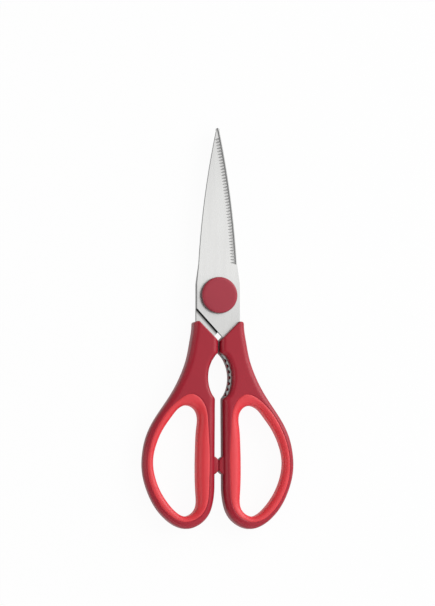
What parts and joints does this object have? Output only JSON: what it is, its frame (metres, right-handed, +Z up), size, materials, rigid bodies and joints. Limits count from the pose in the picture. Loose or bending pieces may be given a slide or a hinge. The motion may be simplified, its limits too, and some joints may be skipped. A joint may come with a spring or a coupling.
{
  "type": "kitchen shears",
  "caption": "Kitchen shears with a serrated and a plain steel blade, moulded red bow handles with soft liners, a toothed gripping jaw between the handles and a capped pivot.",
  "frame": {"origin": "middle of the closed shears' footprint, on the surface that the handles lie on", "axes": "+Y along the shears towards the tips, +Z up through their thickness towards the pivot cap, +X to the right handle"},
  "size_m": [0.0804, 0.21, 0.0123],
  "materials": {
    "blade_steel": "fine satin grind, brighter on the flat faces",
    "pivot_steel": "turned and lightly polished",
    "shell_plastic": "dark red, satin gloss",
    "liner_rubber": "soft light red, matt",
    "cap_plastic": "red, satin, bare face",
    "washer_plastic": "natural slippery plastic"
  },
  "bodies": {
    "rear_half": {"rear_blade": "blade_steel", "left_handle_shell": "shell_plastic", "left_grip_liner": "liner_rubber", "pivot_screw": "pivot_steel", "bearing_washer": "washer_plastic", "disc_spring": "pivot_steel", "pivot_nut": "pivot_steel", "pivot_cap": "cap_plastic"},
    "front_half": {"front_blade": "blade_steel", "right_handle_shell": "shell_plastic", "right_grip_liner": "liner_rubber"}
  },
  "joints": [
    {"name": "blade_pivot", "type": "hinge", "parent": "rear_half", "child": "front_half", "pos_m": [0, 0.0168, 0.006], "axis": [0, 0, 1], "range_deg": [0, 90]}
  ]
}
